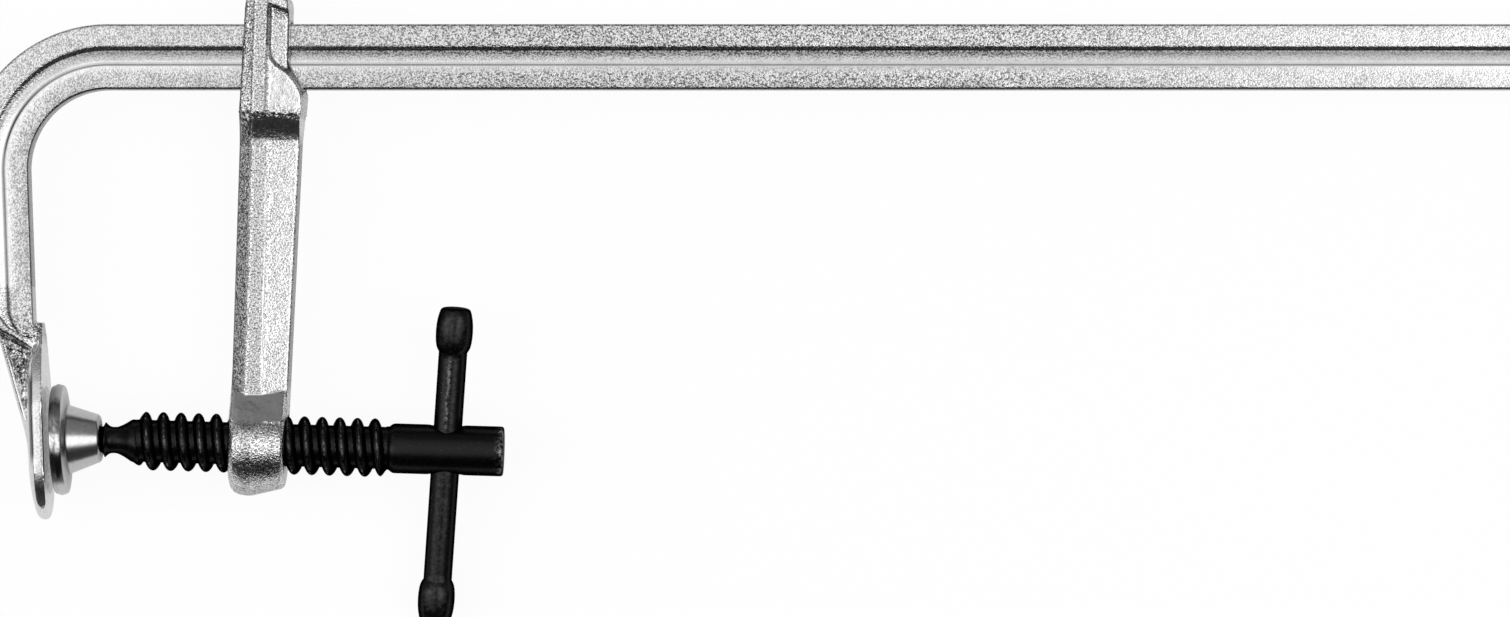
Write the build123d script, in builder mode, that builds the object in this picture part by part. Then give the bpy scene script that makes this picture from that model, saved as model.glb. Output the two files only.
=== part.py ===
"""All-steel bar clamp: a profiled rail bent and forged into a fixed jaw, and a sliding arm with a screw.

Frame, in millimetres: the clamp lies flat. +X runs along the rail from the fixed jaw to the
far end, +Y runs from the spindle to the rail, and +Z is up through the thickness. The origin
is the centre of the fixed jaw's clamping face, where the spindle's line meets it.
"""

from build123d import *
from math import cos, pi, radians, sin, tan
import os

# Capacity
opening = 500.0  # widest gap between the fixed jaw and the pad
throat = 119.0  # from the spindle's line to the near edge of the rail

# Rail: a flat bar with a shallow groove along both broad sides
rail_height = 22.2
rail_thickness = 11.0
rail_edge_radius = 1.4
groove_width = 6.4
groove_floor = 3.6
groove_depth = 1.7
bend_radius = 27.0  # inside of the bend
rail_margin = 8.0  # from the end pin to the rail's end

# Fixed jaw: an oval plate with a rib behind it, leaning a little towards the spindle
jaw_lean = 2.0
leg_setback = 3.1  # from the clamping face to the inner edge of the rail's leg
plate_thickness = 4.3
plate_neck_width = 11.0
plate_width = 31.0
plate_rise = 40.0  # from the spindle's line to the plate's upper end
plate_drop = 27.0  # and to its lower end
shoulder_top = 32.0
shoulder_bottom = 17.0
plate_straight_end = -7.0
plate_edge_radius = 1.0
rib_thickness = 8.4
rib_foot = 7.5  # where the rib runs out, below the spindle's line
rib_depth = 15.0  # from the face to the rib's back at the height below
rib_depth_height = 34.5
rib_heel_height = 50.0  # where the rail's back edge starts to run in
rib_edge_radius = 2.0
forging_slope = 33.0  # angle of the line where the rail's profile ends
forging_height = 31.4  # height of that line at the leg's inner edge

# Sliding arm: a forging with a window for the rail at one end and a tapped boss at the other
arm_distance = 61.0  # from the ball's centre to the middle of the boss
arm_tilt = 1.7  # how far the idle arm leans in the window's play
arm_left = 9.5
arm_right_low = 9.8
arm_right_high = 11.5
arm_ridge_left = 5.2
arm_ridge_right = 0.5
shank_half_thickness = 8.2
shank_left_edge = 3.6
shank_right_edge = 6.4
box_half_thickness = 13.0
box_left_edge = 8.6
box_right_edge = 11.2
neck_length = 10.0
box_heel = 6.4  # wall under the rail
box_crown = 10.2  # wall over the rail
crown_right = 7.4
crown_radius = 5.0
step_drop = 3.4  # from the window's middle to the step
web_recess = 2.6
web_left = 0.4
web_rise = 17.5
web_drop = 3.2
window_play = 0.3
window_side_play = 0.5
boss_radius = 17.6
boss_end_radius = 15.0
boss_parting = -2.6  # where the boss is widest, off its middle
boss_half_length = 9.6

# Spindle: rolled thread, ball at one end and a cross-drilled head at the other
thread_pitch = 6.0
thread_radius = 10.0
root_radius = 7.2
thread_base = 4.2
thread_crest = 2.2
thread_clearance = 0.2
thread_start = 19.6  # from the ball's centre
thread_end = 104.0
thread_fade = 3.0
head_radius = 8.5
head_start = 106.5
head_end = 144.5
head_chamfer = 0.8
tommy_hole_centre = 125.0
hole_flare = 1.3
ball_radius = 6.0
ball_neck_radius = 3.9
collar_radius = 6.2
collar_start = 8.9
collar_length = 1.1
neck_radius = 4.25
neck_end = 12.4
taper_middle = 15.9
taper_middle_radius = 5.8
taper_end = 17.9

# Tommy bar
tommy_radius = 4.85
tommy_length = 109.0
tommy_offset = 5.6  # how far the bar's middle lies beyond the spindle's line
tommy_lean = 2.6  # lean inside its loose hole
tommy_turn = 8.9  # turn about the spindle, which lifts its upper end
tommy_play = 0.15
knob_length = 15.2
knob_radius = 6.3
knob_end_radius = 4.9
knob_end_dome = 0.5
knob_swell = 5.0

# Pressure pad
pad_gap = 2.1  # between the pad and the fixed jaw as the clamp is stored
pad_radius = 19.0
pad_front_radius = 18.3
pad_rear_radius = 17.2
pad_rim = 4.6
pad_peak = 2.3
pad_back = 5.4
cone_radius = 11.7
cone_end_radius = 8.0
cone_height = 15.9  # from the pad's face
cone_chamfer = 0.6
ball_seat = 8.3  # from the pad's face to the ball's centre
ball_clearance = 0.2
pad_swing = 6.0
ring_wire = 1.4
ring_distance = 3.9  # from the ball's centre
ring_radius = 5.75
ring_gap = 40.0
ring_play = 0.15

# End pin: a slotted spring pin that keeps the arm on the rail
pin_radius = 2.5
pin_wall = 0.9
pin_length = 17.0
pin_slot = 0.8
pin_chamfer = 0.4
pin_stop_gap = 0.5

# Travel of the spindle through the boss, and of the arm along the rail
feed_end_gap = 2.0  # left between the pad's cone and the boss
overlap = 0.5  # how far joined shapes reach into each other

# Directions of the leaning jaw and of the tilted arm
jaw_out = Vector(cos(radians(jaw_lean)), sin(radians(jaw_lean)), 0)
arm_out = Vector(cos(radians(arm_tilt)), -sin(radians(arm_tilt)), 0)
arm_up = Vector(sin(radians(arm_tilt)), cos(radians(arm_tilt)), 0)
upward = Vector(0, 0, 1)

rail_middle = throat + rail_height / 2
ball_centre = jaw_out * (pad_gap + ball_seat)
arm_centre = ball_centre + arm_out * arm_distance

jaw_plane = Plane(origin=(0, 0, 0), x_dir=jaw_out, z_dir=upward)
face_plane = Plane(origin=(0, 0, 0), x_dir=-upward, z_dir=jaw_out)
pad_plane = Plane(origin=jaw_out * pad_gap, x_dir=jaw_out, z_dir=upward)
arm_plane = Plane(origin=arm_centre, x_dir=arm_out, z_dir=upward)
spindle_plane = Plane(origin=ball_centre, x_dir=arm_out, z_dir=upward)
spindle_start = Plane(origin=ball_centre, x_dir=upward, z_dir=arm_out)
pad_axis = Axis(jaw_out * pad_gap, jaw_out)
spindle_axis = Axis(ball_centre, arm_out)

# The window leaves the tilted arm its play on the rail
window_middle = (rail_middle - arm_centre.Y) / cos(radians(arm_tilt))
window_height = rail_height + (arm_left + arm_right_high) * tan(radians(arm_tilt)) + 2 * window_play
window_width = rail_thickness + 2 * window_side_play
window_low = window_middle - window_height / 2
window_high = window_middle + window_height / 2

# The pin stops the arm where the pad stands a full opening from the jaw
feed_travel = arm_distance - boss_half_length - (cone_height - ball_seat) - feed_end_gap
slide_travel = opening - pad_gap - feed_travel
crown_x = arm_plane.from_local_coords((crown_right, window_middle, 0)).X
pin_x = crown_x + slide_travel + pin_radius + pin_stop_gap
rail_end = pin_x + rail_margin


def rail_section():
    """The rail's cross-section, with its height along x."""
    with BuildSketch() as section:
        Rectangle(rail_height, rail_thickness)
        fillet(section.vertices(), rail_edge_radius)
        for side in (1, -1):
            with BuildLine():
                Polyline(
                    (-groove_width / 2, side * rail_thickness / 2),
                    (-groove_floor / 2, side * (rail_thickness / 2 - groove_depth)),
                    (groove_floor / 2, side * (rail_thickness / 2 - groove_depth)),
                    (groove_width / 2, side * rail_thickness / 2),
                    close=True,
                )
            make_face(mode=Mode.SUBTRACT)
    return section.sketch


def thread_ridge(start, end, gap):
    """One rounded helical ridge around the spindle, grown by a gap, with its foot inside the root."""
    foot = root_radius - overlap
    slope = (thread_base - thread_crest) / 2 / (thread_radius - root_radius)
    foot_half = thread_base / 2 + gap + slope * overlap
    crest_half = thread_crest / 2 + gap
    height = thread_radius + gap - foot
    with BuildLine() as path:
        Helix(thread_pitch, end - start, foot)
    with BuildPart() as ridge:
        with BuildSketch(Plane(origin=(foot, 0, 0), x_dir=(0, 0, 1), z_dir=(0, 1, 0))):
            with BuildLine():
                Polyline(
                    (-foot_half, 0),
                    (foot_half, 0),
                    (crest_half, height),
                    (-crest_half, height),
                    close=True,
                )
            make_face()
        sweep(path=path.line, is_frenet=True)
    turn = 2 * pi * start / thread_pitch
    outward = upward * cos(turn) + arm_out.cross(upward) * sin(turn)
    return Plane(origin=ball_centre + arm_out * start, x_dir=outward, z_dir=arm_out).location * ridge.part


# Rail, bent into the leg of the fixed jaw
rail_left = Vector(*(jaw_out * -leg_setback))
bend_height = throat - bend_radius
inner_x = rail_left.X - (bend_height - rail_left.Y) * tan(radians(jaw_lean))
bend_x = inner_x + bend_radius / cos(radians(jaw_lean))
leg_end = Vector(*jaw_plane.from_local_coords((-leg_setback - rail_height / 2, shoulder_bottom, 0)))

# Oval plate, as wide as the rail is thick at its upper end
with BuildPart() as jaw_plate:
    with BuildSketch(face_plane):
        with BuildLine():
            upper = Line((plate_neck_width / 2, plate_rise), (plate_neck_width / 2, shoulder_top))
            side = Line((plate_width / 2, shoulder_bottom), (plate_width / 2, plate_straight_end))
            Spline(upper @ 1, side @ 0, tangents=[(0, -1), (0, -1)])
            EllipticalCenterArc(
                (0, plate_straight_end),
                plate_width / 2,
                plate_drop + plate_straight_end,
                start_angle=270,
                arc_size=90,
            )
            Line((0, plate_rise), upper @ 0)
            mirror(about=Plane.YZ)
        make_face()
    extrude(amount=-plate_thickness)
    fillet(jaw_plate.faces().filter_by(face_plane).edges(), plate_edge_radius)

# Rib behind the plate, running in from the rail's back edge
with BuildPart() as jaw_rib:
    with BuildSketch(jaw_plane):
        with BuildLine():
            rib_front = Line((-plate_thickness + overlap, -rib_foot), (-plate_thickness + overlap, plate_rise - overlap))
            rib_slant = Line(rib_front @ 1, (-leg_setback - overlap, rib_heel_height))
            rib_top = Line(rib_slant @ 1, (-leg_setback - rail_height + overlap, rib_heel_height))
            rib_back = Line((-rib_depth, rib_depth_height), (-plate_thickness - overlap, -rib_foot))
            Spline(rib_top @ 1, rib_back @ 0, tangents=[(0, -1), rib_back % 0])
            Line(rib_back @ 1, rib_front @ 0)
        make_face()
    extrude(amount=rib_thickness / 2, both=True)
    rib_rims = jaw_rib.edges().filter_by(lambda edge: abs(edge.center().Z) > rib_thickness / 4)
    rear_rims = rib_rims.filter_by(
        lambda edge: jaw_plane.to_local_coords(edge.center()).X < -plate_thickness - overlap
        and jaw_plane.to_local_coords(edge.center()).Y < rib_heel_height - overlap
    )
    fillet(rear_rims, rib_edge_radius)

with BuildPart() as rail_bar:
    with BuildLine() as rail_path:
        top_run = Line((rail_end, rail_middle), (bend_x, rail_middle))
        bend = JernArc(
            start=top_run @ 1,
            tangent=(-1, 0),
            radius=bend_radius + rail_height / 2,
            arc_size=90 + jaw_lean,
        )
        Line(bend @ 1, leg_end)
    with BuildSketch(Plane(origin=(rail_end, rail_middle, 0), x_dir=(0, 1, 0), z_dir=(-1, 0, 0))):
        add(rail_section())
    sweep(path=rail_path.line)

    # The profile stops at a slanting line, where the jaw is forged from it
    with BuildSketch(jaw_plane):
        with BuildLine():
            slant = tan(radians(forging_slope))
            Polyline(
                (-leg_setback + overlap, forging_height - overlap * slant),
                (-leg_setback - rail_height - overlap, forging_height + (rail_height + overlap) * slant),
                (-leg_setback - rail_height - overlap, 0),
                (-leg_setback + overlap, 0),
                close=True,
            )
        make_face()
    extrude(amount=rail_thickness, both=True, mode=Mode.SUBTRACT)
    add(jaw_rib.part)
    add(jaw_plate.part)

    # Hole for the end pin
    with Locations((pin_x, rail_middle, 0)):
        Hole(pin_radius)
rail_bar.part.label = "rail_bar"
os.makedirs("parts", exist_ok=True)
export_step(rail_bar.part, "parts/rail_bar.step")


# Sliding arm
box_bottom = window_low - box_heel
box_top = window_high + box_crown
neck_bottom = box_bottom - neck_length
step_top = window_middle - step_drop


def arm_level(height):
    """Plane across the arm at a height above the spindle's line."""
    return Plane(origin=arm_plane.from_local_coords((0, height, 0)), x_dir=arm_out, z_dir=arm_up)


def arm_section(right, left_edge, ridge, right_edge):
    """The arm's ridged section, with its broad face along x and its thickness along y."""
    with BuildSketch() as section:
        with BuildLine():
            Polyline(
                (-arm_left, left_edge),
                (-arm_ridge_left, ridge),
                (-arm_ridge_right, ridge),
                (right, right_edge),
                (right, -right_edge),
                (-arm_ridge_right, -ridge),
                (-arm_ridge_left, -ridge),
                (-arm_left, -left_edge),
                close=True,
            )
        make_face()
    return section.sketch


# Room for the screw in the boss, with its running clearance
tap_start = arm_distance - boss_half_length - thread_pitch
tap_end = arm_distance + boss_half_length + thread_pitch

with BuildPart() as screw_tap:
    with BuildSketch(spindle_start.offset(tap_start - thread_pitch)):
        Circle(root_radius + thread_clearance)
    extrude(amount=tap_end - tap_start + 2 * thread_pitch)
    add(thread_ridge(tap_start, tap_end, thread_clearance))

with BuildPart() as sliding_arm:
    # Shank, then the neck that flares to the box round the window, then the box
    with BuildSketch(arm_level(0)):
        add(arm_section(arm_right_low, shank_left_edge, shank_half_thickness, shank_right_edge))
    with BuildSketch(arm_level(neck_bottom)):
        add(arm_section(arm_right_high, shank_left_edge, shank_half_thickness, shank_right_edge))
    loft(ruled=True)
    with BuildSketch(arm_level(neck_bottom)):
        add(arm_section(arm_right_high, shank_left_edge, shank_half_thickness, shank_right_edge))
    with BuildSketch(arm_level(box_bottom)):
        add(arm_section(arm_right_high, box_left_edge, box_half_thickness, box_right_edge))
    loft(ruled=True)
    with BuildSketch(arm_level(box_bottom)):
        add(arm_section(arm_right_high, box_left_edge, box_half_thickness, box_right_edge))
    extrude(amount=box_top - box_bottom)

    # Outline: cut back on the right above a step, with a rounded crown
    with BuildSketch(arm_plane.offset(-box_half_thickness - overlap)):
        with BuildLine():
            foot = Line((arm_right_high, 0), (-arm_left, 0))
            left_side = Line(foot @ 1, (-arm_left, box_top - crown_radius))
            left_corner = TangentArc(left_side @ 1, (crown_radius - arm_left, box_top), tangent=(0, 1))
            crown = Line(left_corner @ 1, (crown_right - crown_radius, box_top))
            right_corner = TangentArc(crown @ 1, (crown_right, box_top - crown_radius), tangent=(1, 0))
            right_side = Line(right_corner @ 1, (crown_right, step_top))
            step = Spline(right_side @ 1, (arm_right_high, window_low), tangents=[(1, -1), (0, -1)])
            Line(step @ 1, foot @ 0)
        make_face()
    extrude(amount=2 * (box_half_thickness + overlap), mode=Mode.INTERSECT)

    # Shallow web beside the thick rib, on both broad faces
    for side in (1, -1):
        with BuildSketch(arm_plane.offset(side * (box_half_thickness - web_recess))):
            with BuildLine():
                web_side = Line((web_left, window_middle + web_rise), (web_left, window_middle + web_drop))
                web_foot = Spline(
                    web_side @ 1,
                    (crown_right, step_top),
                    tangents=[(0, -1), (1, -1)],
                )
                web_base = Line(web_foot @ 1, (arm_right_high + overlap, step_top))
                web_edge = Line(web_base @ 1, (arm_right_high + overlap, window_middle + web_rise))
                Line(web_edge @ 1, web_side @ 0)
            make_face()
        extrude(amount=side * (web_recess + overlap), mode=Mode.SUBTRACT)

    # Window for the rail
    with BuildSketch(arm_level(window_low)):
        Rectangle(4 * arm_right_high, window_width)
    extrude(amount=window_height, mode=Mode.SUBTRACT)

    # Boss round the screw, drafted both ways from the forging's parting line
    with BuildSketch(arm_plane):
        with BuildLine():
            Polyline(
                (-boss_half_length, 0),
                (-boss_half_length, boss_end_radius),
                (boss_parting, boss_radius),
                (boss_half_length, boss_end_radius),
                (boss_half_length, 0),
                close=True,
            )
        make_face()
    revolve(axis=spindle_axis)
    add(screw_tap.part, mode=Mode.SUBTRACT)
sliding_arm.part.label = "sliding_arm"
export_step(sliding_arm.part, "parts/sliding_arm.step")


# Spindle, turned between its ball and its cross-drilled head
tommy_out = arm_up * cos(radians(tommy_turn)) + upward * sin(radians(tommy_turn))
tommy_up = tommy_out * cos(radians(tommy_lean)) + arm_out * sin(radians(tommy_lean))
hole_centre = ball_centre + arm_out * tommy_hole_centre
hole_radius = (tommy_radius + head_radius * sin(radians(tommy_lean))) / cos(radians(tommy_lean)) + tommy_play
hole_plane = Plane(origin=hole_centre, x_dir=arm_out, z_dir=tommy_out)

with BuildPart() as spindle_thread:
    add(thread_ridge(thread_start, thread_end, 0))
    with BuildSketch(spindle_plane):
        with BuildLine():
            Polyline(
                (thread_start - thread_pitch, 0),
                (thread_start - thread_pitch, root_radius - 2 * overlap),
                (thread_start + thread_fade, thread_radius + overlap),
                (thread_end - thread_fade, thread_radius + overlap),
                (thread_end + thread_pitch, root_radius - 2 * overlap),
                (thread_end + thread_pitch, 0),
                close=True,
            )
        make_face()
    revolve(axis=spindle_axis, mode=Mode.INTERSECT)

with BuildPart() as spindle:
    with BuildSketch(spindle_plane):
        with BuildLine():
            ball_end = (ball_radius**2 - ball_neck_radius**2) ** 0.5
            ball_arc = ThreePointArc((-ball_radius, 0), (0, ball_radius), (ball_end, ball_neck_radius))
            Polyline(
                ball_arc @ 1,
                (collar_start, ball_neck_radius),
                (collar_start, collar_radius),
                (collar_start + collar_length, neck_radius),
                (neck_end, neck_radius),
                (taper_middle, taper_middle_radius),
                (taper_end, root_radius),
                (thread_end + overlap, root_radius),
                (head_start, head_radius),
                (head_end - head_chamfer, head_radius),
                (head_end, head_radius - head_chamfer),
                (head_end, 0),
                (-ball_radius, 0),
            )
        make_face()
    revolve(axis=spindle_axis)
    add(spindle_thread.part)

    # Cross hole for the tommy bar, flared at both mouths
    with BuildSketch(hole_plane):
        Circle(hole_radius)
    extrude(amount=head_radius + overlap, both=True, mode=Mode.SUBTRACT)
    for side in (1, -1):
        with BuildSketch(hole_plane.offset(side * (head_radius - hole_flare))) as mouth:
            Circle(hole_radius)
        with BuildSketch(hole_plane.offset(side * (head_radius + overlap))) as mouth_top:
            Circle(hole_radius + hole_flare + overlap)
        loft([mouth.sketch.face(), mouth_top.sketch.face()], mode=Mode.SUBTRACT)
spindle.part.label = "spindle"
export_step(spindle.part, "parts/spindle.step")


# Tommy bar, upset at both ends after it is put through the hole
tommy_centre = hole_centre - tommy_up * tommy_offset
tommy_plane = Plane(origin=tommy_centre, x_dir=arm_out, z_dir=tommy_up)
tommy_side = Plane(origin=tommy_centre, x_dir=tommy_up, z_dir=tommy_plane.y_dir)

with BuildPart() as tommy_bar:
    with BuildSketch(tommy_side):
        with BuildLine():
            half_length = tommy_length / 2
            knob_start = half_length - knob_length
            rod = Line((0, tommy_radius), (knob_start, tommy_radius))
            swell = Spline(
                rod @ 1,
                (knob_start + knob_swell, knob_radius),
                (half_length - knob_end_dome, knob_end_radius),
                tangents=[(1, 1), (1, -0.3)],
            )
            dome = Line(swell @ 1, (half_length, knob_end_radius - 2 * knob_end_dome))
            Line(dome @ 1, (half_length, 0))
            Line((half_length, 0), (0, 0))
            mirror(about=Plane.YZ)
        make_face()
    revolve(axis=Axis(tommy_centre, tommy_up))
tommy_bar.part.label = "tommy_bar"
export_step(tommy_bar.part, "parts/tommy_bar.step")


# Pressure pad: a bevelled disc with a cone behind it, bored for the spindle's ball
socket_radius = ball_radius + ball_clearance
ring_seat = ball_seat + ring_distance
swing = sin(radians(pad_swing))
groove_half = ring_wire / 2 + ring_radius * swing + ring_play
groove_radius = ring_radius + ring_wire / 2 + ring_distance * swing + ring_play

with BuildPart() as pressure_pad:
    with BuildSketch(pad_plane):
        with BuildLine():
            Polyline(
                (0, 0),
                (0, pad_front_radius),
                (pad_peak, pad_radius),
                (pad_rim, pad_rear_radius),
                (pad_back, cone_radius),
                (cone_height - cone_chamfer, cone_end_radius),
                (cone_height, cone_end_radius - cone_chamfer),
                (cone_height, socket_radius),
                (ring_seat + groove_half, socket_radius),
                (ring_seat + groove_half, groove_radius),
                (ring_seat - groove_half, groove_radius),
                (ring_seat - groove_half, socket_radius),
                (ball_seat, socket_radius),
            )
            RadiusArc((ball_seat, socket_radius), (ball_seat - socket_radius, 0), -socket_radius)
            Line((ball_seat - socket_radius, 0), (0, 0))
        make_face()
    revolve(axis=pad_axis)
pressure_pad.part.label = "pressure_pad"
export_step(pressure_pad.part, "parts/pressure_pad.step")


# Wire ring that holds the ball in the pad
ring_plane = Plane(origin=ball_centre + jaw_out * ring_distance, x_dir=upward, z_dir=jaw_out)

with BuildPart() as pad_snap_ring:
    with BuildLine(ring_plane) as ring_path:
        CenterArc((0, 0), ring_radius, ring_gap / 2, 360 - ring_gap)
    with BuildSketch(Plane(origin=ring_path.line @ 0, z_dir=ring_path.line % 0)):
        Circle(ring_wire / 2)
    sweep(path=ring_path.line)
pad_snap_ring.part.label = "pad_snap_ring"
export_step(pad_snap_ring.part, "parts/pad_snap_ring.step")


# Slotted spring pin through the rail's far end
with BuildPart() as rail_end_pin:
    with BuildSketch(Plane(origin=(pin_x, rail_middle, -pin_length / 2), z_dir=upward)):
        Circle(pin_radius)
        Circle(pin_radius - pin_wall, mode=Mode.SUBTRACT)
        with Locations((pin_radius - pin_wall / 2, 0)):
            Rectangle(2 * pin_wall, pin_slot, mode=Mode.SUBTRACT)
    extrude(amount=pin_length)
    pin_rims = rail_end_pin.edges().filter_by(GeomType.CIRCLE).filter_by(
        lambda edge: abs(edge.radius - pin_radius) < pin_wall / 2
    )
    chamfer(pin_rims, pin_chamfer)
rail_end_pin.part.label = "rail_end_pin"
export_step(rail_end_pin.part, "parts/rail_end_pin.step")
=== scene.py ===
import bpy
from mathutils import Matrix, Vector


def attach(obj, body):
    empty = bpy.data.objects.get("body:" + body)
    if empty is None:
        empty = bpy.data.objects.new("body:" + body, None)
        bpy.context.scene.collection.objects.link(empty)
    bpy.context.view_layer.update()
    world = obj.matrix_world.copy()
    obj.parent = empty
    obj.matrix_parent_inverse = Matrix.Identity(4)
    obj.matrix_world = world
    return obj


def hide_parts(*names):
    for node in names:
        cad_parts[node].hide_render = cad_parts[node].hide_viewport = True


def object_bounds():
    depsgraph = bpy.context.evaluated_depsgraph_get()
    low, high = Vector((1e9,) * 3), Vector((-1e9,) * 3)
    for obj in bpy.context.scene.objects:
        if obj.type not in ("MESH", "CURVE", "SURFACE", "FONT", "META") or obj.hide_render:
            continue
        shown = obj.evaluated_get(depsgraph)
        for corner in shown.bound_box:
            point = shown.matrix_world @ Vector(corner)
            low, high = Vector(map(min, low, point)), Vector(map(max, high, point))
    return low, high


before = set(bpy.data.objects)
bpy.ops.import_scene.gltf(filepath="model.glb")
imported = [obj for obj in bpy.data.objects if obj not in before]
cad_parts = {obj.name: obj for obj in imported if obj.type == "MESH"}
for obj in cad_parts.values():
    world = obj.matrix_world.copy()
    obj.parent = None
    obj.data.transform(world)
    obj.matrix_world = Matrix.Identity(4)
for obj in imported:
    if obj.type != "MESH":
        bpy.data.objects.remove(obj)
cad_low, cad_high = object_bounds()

# Camera: it hangs straight above the clamp, 2.04 m over its middle plane, as for a catalogue photograph.
# One pixel is 0.34 mm there, and the fixed jaw's face meets the spindle's line at the frame's origin.
pixel = 0.00034
photo_width, photo_height = 1510, 617
origin_x, origin_y = 48.35, 440.0
camera_height = 2.04
camera = bpy.data.objects.new("camera", bpy.data.cameras.new("camera"))
bpy.context.scene.collection.objects.link(camera)
camera.location = (
    (photo_width / 2 - origin_x) * pixel,
    (origin_y - photo_height / 2) * pixel,
    camera_height,
)
camera.data.sensor_width = 36.0
camera.data.lens = camera.data.sensor_width * camera_height / (photo_width * pixel)
camera.data.clip_end = 50.0
bpy.context.scene.camera = camera
bpy.context.scene.view_settings.view_transform = "Standard"


# Studio: a white sheet under the clamp, a big soft box overhead and a light room around it, darker
# towards the lower left, so that bright steel shows light faces to the upper right and dark ones below.
from math import degrees
from mathutils import Vector


def node_maker(tree):
    """A function that adds a node, sets its plain values and links its inputs."""

    def add(kind, values=None, links=None, **settings):
        node = tree.nodes.new(kind)
        for name, value in settings.items():
            setattr(node, name, value)
        for name, value in (values or {}).items():
            node.inputs[name].default_value = value
        for name, source in (links or {}).items():
            tree.links.new(source, node.inputs[name])
        return node

    return add


world = bpy.data.worlds.new("studio")
bpy.context.scene.world = world
world.use_nodes = True
world.node_tree.nodes.clear()
add = node_maker(world.node_tree)
direction = add("ShaderNodeTexCoord").outputs["Generated"]
split = add("ShaderNodeSeparateXYZ", links={0: direction})


def leaning(axis):
    """How far a direction leans along an axis from straight up, in degrees."""
    tilt = add("ShaderNodeMath", links={0: split.outputs[axis], 1: split.outputs["Z"]}, operation="ARCTAN2")
    return add("ShaderNodeMath", {1: degrees(1.0)}, {0: tilt.outputs[0]}, operation="MULTIPLY").outputs[0]


def product(first, second):
    """What two values come to, multiplied."""
    return add("ShaderNodeMath", links={0: first, 1: second}, operation="MULTIPLY").outputs[0]


def between(value, start, full, fading, gone):
    """A soft window on a value: 0 up to start, 1 from full to fading, and 0 again from gone."""
    rise = add("ShaderNodeMapRange", {1: start, 2: full}, {0: value}, interpolation_type="SMOOTHSTEP")
    fall = add("ShaderNodeMapRange", {1: fading, 2: gone, 3: 1.0, 4: 0.0}, {0: value}, interpolation_type="SMOOTHSTEP")
    return product(rise.outputs[0], fall.outputs[0])


def tone_by(tilt, stops):
    """Grey level by a tilt in degrees, from (tilt, grey) pairs."""
    share = add("ShaderNodeMapRange", {1: -180.0, 2: 180.0}, {0: tilt})
    ramp = add("ShaderNodeValToRGB", links={0: share.outputs[0]})
    elements = ramp.color_ramp.elements
    while len(elements) < len(stops):
        elements.new(0.5)
    for element, (angle, grey) in zip(elements, stops):
        element.position = (angle + 180.0) / 360.0
        element.color = (grey, grey, grey, 1)
    return ramp.outputs[0]


# The room's light by direction: grey walls, a bright strip and a box over the clamp, and a soft ceiling
to_right, to_top = leaning("X"), leaning("Y")
wall_tones = [(-100, 0.1), (-84, 0.05), (-66, 0.05), (-46, 0.03), (-20, 0.12), (8, 0.32), (40, 0.27), (76, 0.27)]
walls = tone_by(to_top, wall_tones + [(81, 0.04), (92, 0.04), (100, 0.3)])
walls = product(walls, tone_by(to_right, [(-95, 1.2), (-50, 1.6), (-20, 0.9), (0, 0.8), (60, 1.0)]))
over_clamp = between(to_top, -30.0, -16.0, 6.0, 20.0)
strip = product(between(to_right, -95.0, -80.0, 50.0, 75.0), over_clamp)
strip_tones = [(-90, 1.6), (-50, 2.1), (-30, 1.3), (-6, 1.15), (-3, 0.7), (0, 0.16), (6, 0.24), (60, 0.5)]
strip = product(strip, tone_by(to_right, strip_tones))
box = product(between(to_right, 2.0, 16.0, 48.0, 62.0), over_clamp)
ceiling = product(between(to_right, -50.0, -28.0, 18.0, 34.0), between(to_top, 4.0, 16.0, 34.0, 52.0))
glow = add("ShaderNodeMath", links={0: walls, 1: strip}, operation="ADD")
glow = add("ShaderNodeMath", {1: 0.6}, {0: ceiling, 2: glow.outputs[0]}, operation="MULTIPLY_ADD")
glow = add("ShaderNodeMath", {1: 0.72}, {0: box, 2: glow.outputs[0]}, operation="MULTIPLY_ADD")
path = add("ShaderNodeLightPath")
room = add("ShaderNodeBackground", links={"Strength": glow.outputs[0]})
white = add("ShaderNodeBackground", {"Color": (1, 1, 1, 1), "Strength": 1.0})
mixed = add(
    "ShaderNodeMixShader",
    links={0: path.outputs["Is Camera Ray"], 1: room.outputs[0], 2: white.outputs[0]},
)
add("ShaderNodeOutputWorld", links={"Surface": mixed.outputs[0]})


def soft_box(name, place, aim, size, watts):
    """A rectangular area lamp that faces a point."""
    lamp = bpy.data.lights.new(name, "AREA")
    lamp.shape = "RECTANGLE"
    lamp.size, lamp.size_y = size
    lamp.energy = watts
    holder = bpy.data.objects.new(name, lamp)
    holder.location = place
    holder.rotation_euler = (Vector(aim) - Vector(place)).to_track_quat("-Z", "Y").to_euler()
    bpy.context.scene.collection.objects.link(holder)


soft_box("overhead", place=(0.94, -0.13, 1.5), aim=(0.24, 0.05, 0), size=(1.1, 0.9), watts=2.4)


def empty_material(name):
    """A material with no nodes yet, and the function that adds them."""
    material = bpy.data.materials.new(name)
    material.use_nodes = True
    material.node_tree.nodes.clear()
    return material, node_maker(material.node_tree)


bpy.ops.mesh.primitive_plane_add(size=6, location=(0.25, 0.05, cad_low.z - 0.0003))
sheet = bpy.context.object
sheet.name = "paper_sheet"
paper, add = empty_material("white_paper")
matt = add("ShaderNodeBsdfDiffuse", {"Color": (0.9, 0.9, 0.9, 1)})
lit = add("ShaderNodeEmission", {"Color": (1, 1, 1, 1), "Strength": 1.06})
path = add("ShaderNodeLightPath")
mirrored = add("ShaderNodeMath", {1: 0.42}, {0: path.outputs["Is Glossy Ray"]}, operation="MULTIPLY")
seen = add(
    "ShaderNodeMath",
    {1: 0.88},
    {0: path.outputs["Is Camera Ray"], 2: mirrored.outputs[0]},
    operation="MULTIPLY_ADD",
)
shown = add("ShaderNodeMixShader", links={0: seen.outputs[0], 1: matt.outputs[0], 2: lit.outputs[0]})
add("ShaderNodeOutputMaterial", links={"Surface": shown.outputs[0]})
sheet.data.materials.append(paper)


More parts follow.
